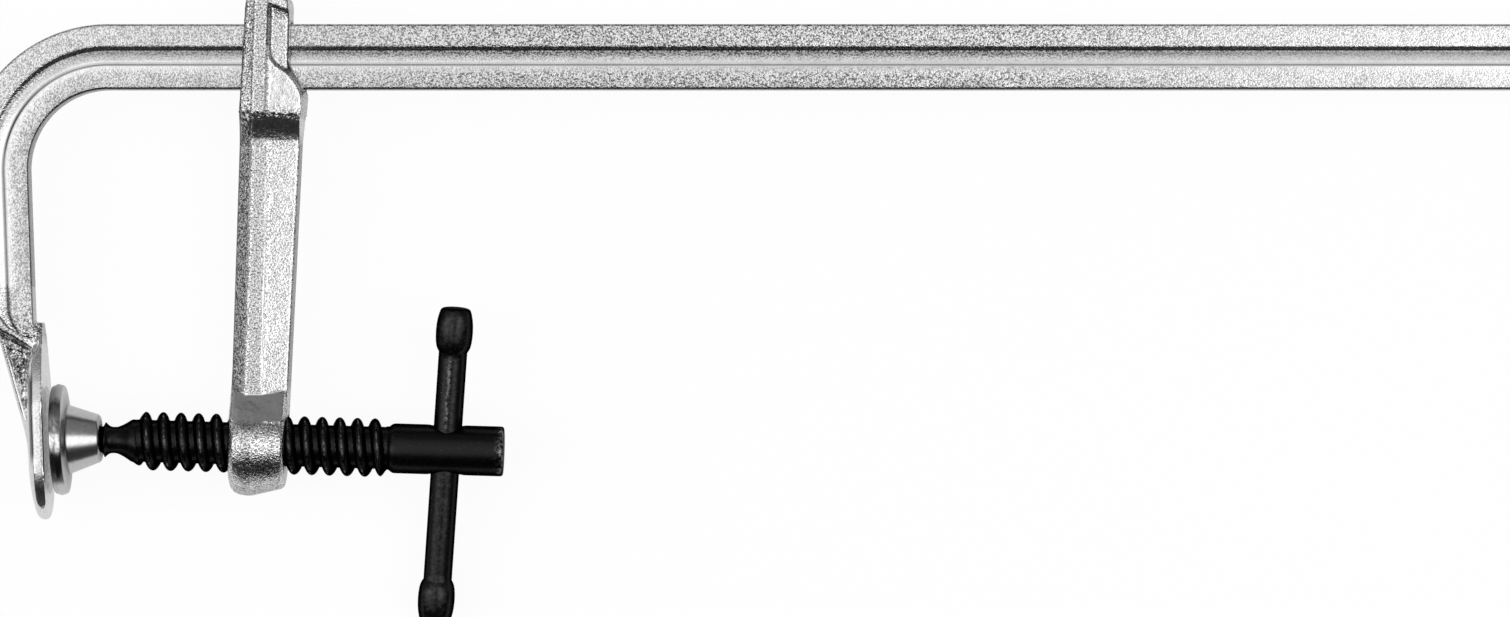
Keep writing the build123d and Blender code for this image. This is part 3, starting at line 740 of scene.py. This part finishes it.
# How rough the skin is: smooth on the block below the web, across the neck, on the saddle and the raised line
deep = np.abs(side)
upper_face = rounded_step(facing[:, 2] * np.sign(side), 0.75, 0.95)
in_web = rounded_step(out, 0.6, 1.6) * upper_face
on_block = in_web * rounded_step(up, 112.0, 116.0) * rounded_step(np.interp(out, *block_top) - up, -0.5, 0.5)
arm_rough = 0.88 - 0.62 * on_block - 0.25 * in_web * rounded_step(up, 116.0, 120.0) * (1.0 - on_block)
arm_rough = arm_rough - 0.5 * rounded_step(up, 101.5, 103.5) * rounded_step(111.5 - up, 0.0, 1.5)
on_saddle = np.exp(-((past_saddle(deep, up) / 0.35) ** 2)) * rounded_step(up, 6.0, 9.0)
arm_rough = np.clip(arm_rough - 0.85 * on_saddle * rounded_step(18.0 - up, 0.0, 1.0), 0.1, 1.0)
on_left = rounded_step(-4.9 - out, 0.0, 0.6) * rounded_step(up, 18.0, 22.0)
arm_rough = arm_rough + 0.2 * on_left
on_ridge = np.exp(-(((out - ridge_out(up)) / 0.4) ** 2)) * rounded_step(up, 14.0, 20.0)
on_ridge = on_ridge * rounded_step(96.0 - up, 0.0, 8.0)
on_shank = upper_face * rounded_step(104.0 - up, 0.0, 4.0) * rounded_step(up, 12.0, 16.0)
right_half = rounded_step(out, 1.6, 2.4)
arm_rough = arm_rough - (0.7 * on_ridge + 0.3 * right_half) * on_shank
mark(arm, "rough", arm_rough)

# How dark it is painted: painted shade in the creases and pits, along the left edge, on the step wall beside the web,
# under the boss and on the sides that face right, and a little darker on the shank's right half
line = np.exp(-(((out - left_crease) / 0.3) ** 2)) * rounded_step(up, 100.0, 112.0)
line = line + 1.1 * np.exp(-(((out - right_crease) / 0.3) ** 2)) * rounded_step(up, 109.0, 113.0)
left_edge = rounded_step(np.interp(up, (0.0, 110.0, 152.0), (-8.7, -8.3, -7.1)) - out, 0.0, 0.5)
left_edge = left_edge * rounded_step(up, 14.0, 20.0)
pits = on_left * rounded_step(ragged(arm_points * np.array((1.0, 0.5, 1.0)), 0.5, 33.0), -0.05, 0.3)
pits = pits * np.interp(up, (104, 114, 130, 150), (0.75, 0.35, 0.6, 0.7))
web_edge = rounded_step(facing[:, 0], 0.2, 0.5) * rounded_step(up, 125.5, 127.5) * rounded_step(out, 5.0, 6.0)
# Painted shade in the creases, along the left edge and in the pits
arm_shade_and_tone = 0.75 * line * rounded_step(deep, 9.0, 11.0) + 0.8 * left_edge + pits
# Painted shade on the step wall beside the web
arm_shade_and_tone = arm_shade_and_tone + 0.8 * web_edge * rounded_step(facing[:, 0], 0.97, 0.85)
# Painted shade on the boss's underside
arm_shade_and_tone = arm_shade_and_tone + 0.25 * rounded_step(-facing[:, 1], 0.72, 0.9) * rounded_step(-up, 8.0, 12.0)
# Painted shade on the sides that face right
right_side = 0.55 * rounded_step(facing[:, 0], 0.6, 0.85) * rounded_step(up, 17.0, 21.0)
arm_shade_and_tone = arm_shade_and_tone + right_side * rounded_step(108.0 - up, 0.0, 8.0)
arm_shade_and_tone = arm_shade_and_tone + 0.07 * right_half * on_shank
mark(arm, "shade_and_tone", np.clip(arm_shade_and_tone, 0.0, 0.85))
arm.data.materials.append(bright)
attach(arm, "arm")
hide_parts("sliding_arm")


# Spindle: a steel bar turned to a ball at one end and a plain head at the other, with a coarse rounded
# thread rolled between them and a flared cross hole in the head. All of it is blackened and oiled.
from math import asin, sqrt
from mathutils import Matrix

ball_centre, ball_radius, ball_neck = (10.394, 0.363), 6.0, 3.9
root_start, root_stop = 18.4, 105.0
thread_start, thread_stop, thread_run_in, thread_run_out = 17.8, 105.6, 5.2, 3.2
head_start, head_radius = 107.8, 8.5
hole_place, hole_radius, hole_half_length = 125.0, 5.43, 9.6
tommy_turn = radians(8.9)


def turned_skin(profile, around):
    """Points and faces of a piece turned about the x axis, closed at both ends, from (x, radius) pairs."""
    turns = np.linspace(0, 2 * pi, around, endpoint=False)
    rings = [[(x, radius * cos(turn), radius * sin(turn)) for turn in turns] for x, radius in profile]
    return ringed_skin(np.array(rings))


def smooth_line(corners, gap):
    """Points at most a gap apart along straight runs between corners."""
    made = [corners[0]]
    for start, stop in zip(corners, corners[1:]):
        count = max(1, int(sqrt((stop[0] - start[0]) ** 2 + (stop[1] - start[1]) ** 2) / gap))
        for step in range(1, count + 1):
            made.append(tuple(a + (b - a) * step / count for a, b in zip(start, stop)))
    return made


ball_turns = np.linspace(0.02, pi - asin(ball_neck / ball_radius), 24)
ball = [(-ball_radius * cos(turn), ball_radius * sin(turn)) for turn in ball_turns]
neck = [(6.4, ball_neck), (7.4, 4.2), (8.3, 4.65), (8.6, 5.1), (8.82, 5.6), (9.0, 5.95), (9.2, 5.9), (9.6, 5.45)]
neck = neck + [(10.2, 4.95), (10.9, 4.6), (11.8, 4.45), (13.2, 4.55), (14.4, 5.05), (15.6, 5.65), (16.8, 6.4)]
neck = neck + [(17.7, 7.0), (root_start, thread_root)]
root = smooth_line([(root_start, thread_root), (root_stop, thread_root)], 0.24)
shoulder = [(root_stop, thread_root), (105.6, 7.5), (106.3, 8.1), (107.0, 8.42), (head_start, head_radius)]
head = smooth_line([(head_start, head_radius), (143.6, head_radius)], 1.2)
end = [(144.1, 8.3), (144.42, 7.9), (144.5, 7.3), (144.5, 0.3)]
points, faces = turned_skin(ball + neck + root[1:] + shoulder + head[1:] + end, 96)
spindle = solid_mesh("screw_spindle", points, faces)
outward(spindle)

# Cross hole, flared at both mouths
flare = []
for offset in np.linspace(-hole_half_length, hole_half_length, 65):
    widening = max(0.0, (abs(offset) - 7.2) / 1.3) ** 1.5
    flare.append((offset, hole_radius + 1.9 * widening))
points, faces = turned_skin(flare, 72)
lengthways, first, second = points.T
points = np.stack(
    (
        hole_place + first,
        lengthways * cos(tommy_turn) - second * sin(tommy_turn),
        lengthways * sin(tommy_turn) + second * cos(tommy_turn),
    ),
    1,
)
drill = solid_mesh("cross_hole", points, faces)
outward(drill)

# Black oxide, lighter where its wear mark and a patchy noise agree: rubbed bright on the spindle, and a painted
# highlight along the tommy bar
black, add = empty_material("black_oxide")
place = add("ShaderNodeTexCoord").outputs["Object"]
worn = add("ShaderNodeAttribute", attribute_name="worn").outputs["Fac"]
patches = add("ShaderNodeTexNoise", {"Scale": 700.0, "Detail": 4.0, "Roughness": 0.7}, {"Vector": place})
fine = add("ShaderNodeTexNoise", {"Scale": 2600.0, "Detail": 2.0}, {"Vector": place})
keep = add("ShaderNodeMapRange", {1: 0.46, 2: 0.62}, {0: patches.outputs["Fac"]})
rubbed_and_highlit = add("ShaderNodeMath", links={0: worn, 1: keep.outputs[0]}, operation="MULTIPLY")
specks = add("ShaderNodeMapRange", {1: 0.7, 2: 0.76, 4: 0.5}, {0: fine.outputs["Fac"]})
bare_and_highlit = add(
    "ShaderNodeMath",
    links={0: rubbed_and_highlit.outputs[0], 1: specks.outputs[0]},
    operation="MAXIMUM",
    use_clamp=True,
)
tone = add(
    "ShaderNodeMix",
    {6: (0.026, 0.026, 0.0265, 1), 7: (0.4, 0.4, 0.4, 1)},
    {0: bare_and_highlit.outputs[0]},
    data_type="RGBA",
)
rough = add("ShaderNodeMapRange", {1: 0.3, 2: 0.7, 3: 0.22, 4: 0.36}, {0: patches.outputs["Fac"]})
bump = add("ShaderNodeBump", {"Strength": 0.3, "Distance": 0.00003}, {"Height": fine.outputs["Fac"]})
surface = add(
    "ShaderNodeBsdfPrincipled",
    {"Metallic": 1.0, "Specular Tint": (0.05, 0.05, 0.05, 1)},
    {"Base Color": tone.outputs[2], "Roughness": rough.outputs[0], "Normal": bump.outputs[0]},
)
add("ShaderNodeOutputMaterial", links={"Surface": surface.outputs[0]})

# The rolled thread raises the plain blank's skin along a helix, and then the cross hole is bored
rolling = bpy.data.node_groups.new("rolled_thread", "GeometryNodeTree")
rolling.is_modifier = True
add = open_group(
    rolling,
    [
        ("Blank", "Geometry"),
        ("Pitch", "Float"),
        ("Root radius", "Float"),
        ("Crest radius", "Float"),
        ("Half width", "Float"),
        ("Start", "Float"),
        ("Stop", "Float"),
        ("Run-in", "Float"),
        ("Run-out", "Float"),
        ("Cross hole", "Object"),
        ("Finish", "Material"),
    ],
    [("Spindle", "Geometry")],
)
wanted_inputs = {
    "Pitch": thread_pitch * 0.001,
    "Root radius": thread_root * 0.001,
    "Crest radius": thread_crest * 0.001,
    "Half width": thread_half * 0.001,
    "Start": thread_start * 0.001,
    "Stop": thread_stop * 0.001,
    "Run-in": thread_run_in * 0.001,
    "Run-out": thread_run_out * 0.001,
    "Cross hole": drill,
    "Finish": black,
}
given = add("NodeGroupInput").outputs


def sum_of(kind, *terms):
    """The result of one arithmetic node on sockets or numbers."""
    node = add("ShaderNodeMath", operation=kind)
    for spot, term in enumerate(terms):
        if isinstance(term, (int, float)):
            node.inputs[spot].default_value = term
        else:
            rolling.links.new(term, node.inputs[spot])
    return node.outputs[0]


def times(first, second):
    """What two sockets or numbers come to, multiplied."""
    return sum_of("MULTIPLY", first, second)


def soft_rise(value, start, stop):
    """A smooth step from 0 to 1 between two values, sockets or numbers."""
    share = sum_of("DIVIDE", sum_of("SUBTRACT", value, start), sum_of("SUBTRACT", stop, start))
    share = sum_of("MAXIMUM", sum_of("MINIMUM", share, 1.0), 0.0)
    return times(times(share, share), sum_of("SUBTRACT", 3.0, times(share, 2.0)))


place = add("ShaderNodeSeparateXYZ", links={0: add("GeometryNodeInputPosition").outputs[0]}).outputs
turn = sum_of("DIVIDE", sum_of("ARCTAN2", times(place["Y"], -1.0), place["Z"]), 2 * pi)
phase = sum_of("SUBTRACT", sum_of("DIVIDE", place["X"], given["Pitch"]), turn)
off = times(sum_of("ABSOLUTE", sum_of("SUBTRACT", phase, sum_of("ROUND", phase))), given["Pitch"])
share = sum_of("MINIMUM", sum_of("DIVIDE", off, given["Half width"]), 1.0)
swell = sum_of("POWER", sum_of("SUBTRACT", 1.0, times(share, share)), 0.75)
grow = soft_rise(place["X"], given["Start"], sum_of("ADD", given["Start"], given["Run-in"]))
fade = soft_rise(sum_of("SUBTRACT", given["Stop"], place["X"]), 0.0, given["Run-out"])
full = times(grow, fade)
height = times(sum_of("SUBTRACT", given["Crest radius"], given["Root radius"]), times(swell, full))
rolled = times(sum_of("ADD", given["Root radius"], height), sum_of("GREATER_THAN", full, 0.0))
reach = sum_of("SQRT", sum_of("ADD", times(place["Y"], place["Y"]), times(place["Z"], place["Z"])))
spread = sum_of("DIVIDE", sum_of("MAXIMUM", rolled, reach), sum_of("MAXIMUM", reach, 0.000001))
moved = add(
    "ShaderNodeCombineXYZ",
    links={"X": place["X"], "Y": times(place["Y"], spread), "Z": times(place["Z"], spread)},
)
threaded = add("GeometryNodeSetPosition", links={"Geometry": given["Blank"], "Position": moved.outputs[0]})
hole = add("GeometryNodeObjectInfo", links={"Object": given["Cross hole"]})
bored = add("GeometryNodeMeshBoolean", operation="DIFFERENCE", solver="EXACT")
rolling.links.new(threaded.outputs[0], bored.inputs[0])
rolling.links.new(hole.outputs["Geometry"], bored.inputs[1])
crest = soft_rise(reach, sum_of("SUBTRACT", given["Crest radius"], 0.00004), given["Crest radius"])
head_end = soft_rise(place["X"], 0.1415, 0.144)
worn = add(
    "GeometryNodeStoreNamedAttribute",
    {"Name": "worn"},
    {"Geometry": bored.outputs[0], "Value": sum_of("MAXIMUM", times(crest, 0.7), times(head_end, 0.8))},
    domain="POINT",
)
whole = add("GeometryNodeRealizeInstances", links={"Geometry": worn.outputs[0]})
finished = add("GeometryNodeSetMaterial", links={"Geometry": whole.outputs[0], "Material": given["Finish"]})
add("NodeGroupOutput", links={0: finished.outputs[0]})

roller = spindle.modifiers.new("rolled_thread", "NODES")
roller.node_group = rolling
for socket in rolling.interface.items_tree:
    if socket.name in wanted_inputs:
        roller[socket.identifier] = wanted_inputs[socket.name]
spindle.data = bpy.data.meshes.new_from_object(spindle.evaluated_get(bpy.context.evaluated_depsgraph_get()))
spindle.modifiers.clear()
bpy.data.objects.remove(drill)
spindle.data.materials.pop(index=0)
spindle.data.transform(
    Matrix(
        (
            (cos(arm_tilt), sin(arm_tilt), 0, ball_centre[0] * 0.001),
            (-sin(arm_tilt), cos(arm_tilt), 0, ball_centre[1] * 0.001),
            (0, 0, 1, 0),
            (0, 0, 0, 1),
        )
    )
)
spindle.data.shade_smooth()
spindle.data.set_sharp_from_angle(angle=radians(35.0))
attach(spindle, "screw")
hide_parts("spindle")


# Tommy bar: a plain steel rod that slides through the spindle's head, to turn it by hand. Each of its ends
# is upset to a barrel knob once it is in the hole, so it can't fall out. It is blackened like the spindle.
rod_lean, rod_offset, rod_radius = radians(2.6), -5.6, 4.85
rod_half_length, knob_length = 54.5, 15.2
rod_axis = np.array((sin(rod_lean), cos(rod_lean) * cos(tommy_turn), cos(rod_lean) * sin(tommy_turn)))
rod_across = np.cross(rod_axis, (1.0, 0.0, 0.0))
rod_across /= np.linalg.norm(rod_across)
rod_third = np.cross(rod_axis, rod_across)
rod_middle = np.array((hole_place, 0.0, 0.0)) + rod_offset * rod_axis
knob_start = rod_half_length - knob_length
knob = [(0.0, rod_radius), (0.4, 5.0), (1.0, 5.4), (2.0, 5.8), (3.4, 6.08), (5.2, 6.25), (7.2, 6.3), (9.4, 6.2)]
knob = knob + [(11.4, 5.95), (13.2, 5.55), (14.4, 5.15), (14.85, 4.8), (15.04, 4.35), (15.12, 3.8), (15.14, 0.2)]
outer = [(knob_start + x, radius) for x, radius in knob]
inner = [(-x, radius) for x, radius in reversed(outer)]
rod = smooth_line([(-knob_start, rod_radius), (knob_start, rod_radius)], 2.0)
points, faces = turned_skin(inner + rod[1:-1] + outer, 64)
points = np.array(points)
placed = rod_middle + points[:, :1] * rod_axis + points[:, 1:2] * rod_across + points[:, 2:] * rod_third
tommy = solid_mesh("tommy_bar_rod", laid(placed, -arm_tilt, ball_centre), faces)
outward(tommy)

# Lighter along its upper and lower sides, a painted highlight with a little wear, and a bright scratch near the knob
upward = np.abs(points[:, 1:] @ np.array((rod_across[2], rod_third[2])))
leftward = points[:, 1:] @ np.array((rod_across[0], rod_third[0]))
scratch = np.exp(-(((leftward + 0.6) / 0.45) ** 2)) * rounded_step(points[:, 0], 12.0, 18.0)
scratch = scratch * rounded_step(rod_half_length - 16.0 - points[:, 0], 0.0, 2.0)
# Painted highlight: the band along the upper and lower sides
mark(tommy, "worn", (0.08 + 0.75 * scratch) * rounded_step(upward, 3.6, 4.7))
tommy.data.materials.append(black)
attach(tommy, "tommy")
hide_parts("tommy_bar")


# Pressure pad: the foot that presses on the work and swivels on the spindle's ball. It is turned from steel
# bar and plated: a disc with two bevels, and a cone behind it that is bored to take the ball.
pad_gap, pad_bore = 2.1, 6.2

smooth, add = empty_material("turned_steel")
place = add("ShaderNodeTexCoord").outputs["Object"]
fine = add("ShaderNodeTexNoise", {"Scale": 900.0, "Detail": 3.0, "Roughness": 0.7}, {"Vector": place})
tone = add("ShaderNodeMapRange", {1: 0.3, 2: 0.7, 3: 0.62, 4: 0.78}, {0: fine.outputs["Fac"]})
shade_and_tone = add("ShaderNodeAttribute", attribute_name="shade_and_tone").outputs["Fac"]
# Painted shade: mixed towards near-black by each point's dark mark
tarnish_and_shade = add("ShaderNodeMix", {7: (0.03, 0.03, 0.03, 1)}, {0: shade_and_tone, 6: tone.outputs[0]}, data_type="RGBA")
bump = add("ShaderNodeBump", {"Strength": 0.1, "Distance": 0.0001}, {"Height": fine.outputs["Fac"]})
surface = add(
    "ShaderNodeBsdfPrincipled",
    {"Metallic": 1.0, "Roughness": 0.23},
    {"Base Color": tarnish_and_shade.outputs[2], "Normal": bump.outputs[0]},
)
add("ShaderNodeOutputMaterial", links={"Surface": surface.outputs[0]})

disc = [(0.0, 0.3), (0.0, 17.2), (0.0, 17.8), (0.06, 18.1), (0.3, 18.32), (0.9, 18.5), (1.75, 18.84), (1.95, 18.93)]
disc = disc + [(2.15, 18.9), (3.0, 18.66), (3.85, 18.36), (4.1, 18.1), (4.18, 17.7), (4.75, 12.3), (4.9, 11.9)]
cone = [(5.2, 11.72), (5.7, 11.55), (10.0, 10.0), (15.05, 8.2), (15.35, 8.05), (15.8, 7.5), (15.9, 7.2), (15.9, 6.6)]
socket = [(15.75, 6.35), (15.4, pad_bore), (8.3, pad_bore)]
bore_turns = np.linspace(0.1, pi / 2 - 0.03, 10)
socket = socket + [(8.3 - pad_bore * sin(turn), pad_bore * cos(turn)) for turn in bore_turns]
points, faces = turned_skin(disc + cone + socket, 128)
points = np.array(points)
pad = solid_mesh("swivel_pad", laid(points + np.array((pad_gap, 0.0, 0.0)), jaw_lean), faces)
outward(pad)

# Darker on the disc's rim: painted shade on its top, its lower part and its front edge, and patches of scuffs across
# its middle; painted shade in the corner before the cone, darker at the cone's end and a little darker all over
along, pad_up = points[:, 0], points[:, 1]
on_rim = rounded_step(np.hypot(pad_up, points[:, 2]), 17.3, 17.8) * rounded_step(4.15 - along, 0.0, 0.1)
scuffs = rounded_step(ragged(points, 1.1, 41.0), 0.0, 0.4) * rounded_step(7.0 - np.abs(pad_up - 1.0), 0.0, 2.0)
# Painted shade on the rim's top and its lower part
tarnish_and_shade = rounded_step(pad_up, 6.0, 10.0) * (0.75 - 0.12 * along)
tarnish_and_shade = tarnish_and_shade + 0.75 * rounded_step(-4.0 - pad_up, 0.0, 1.0) * rounded_step(pad_up + 15.5, 0.0, 2.0)
# Painted shade along the rim's front edge, with patches of scuffs
tarnish_and_shade = on_rim * np.maximum(tarnish_and_shade + 0.5 * scuffs, 0.85 * rounded_step(0.2 - along, 0.0, 0.1))
# Painted shade in the corner before the cone
tarnish_and_shade = tarnish_and_shade + 0.75 * np.exp(-(((along - 4.95) / 0.3) ** 2)) * (1.0 - on_rim)
tarnish_and_shade = tarnish_and_shade + 0.25 * rounded_step(along, 15.0, 15.3)
mark(pad, "shade_and_tone", np.clip(tarnish_and_shade + 0.1, 0.0, 0.9))
pad.data.materials.append(smooth)
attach(pad, "pad")
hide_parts("pressure_pad")


# Rail end pin: a slotted spring pin, driven through the rail's far end so that the arm can't slide off it.
# Its own solid is shown, in the same bright steel as the pad.
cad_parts["rail_end_pin"].data.materials.clear()
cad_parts["rail_end_pin"].data.materials.append(smooth)


# Snap ring: a split ring of spring wire, sprung into the pad's socket behind the spindle's ball to hold it.
# Its own solid is shown, in the same bright steel too.
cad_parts["pad_snap_ring"].data.materials.clear()
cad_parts["pad_snap_ring"].data.materials.append(smooth)
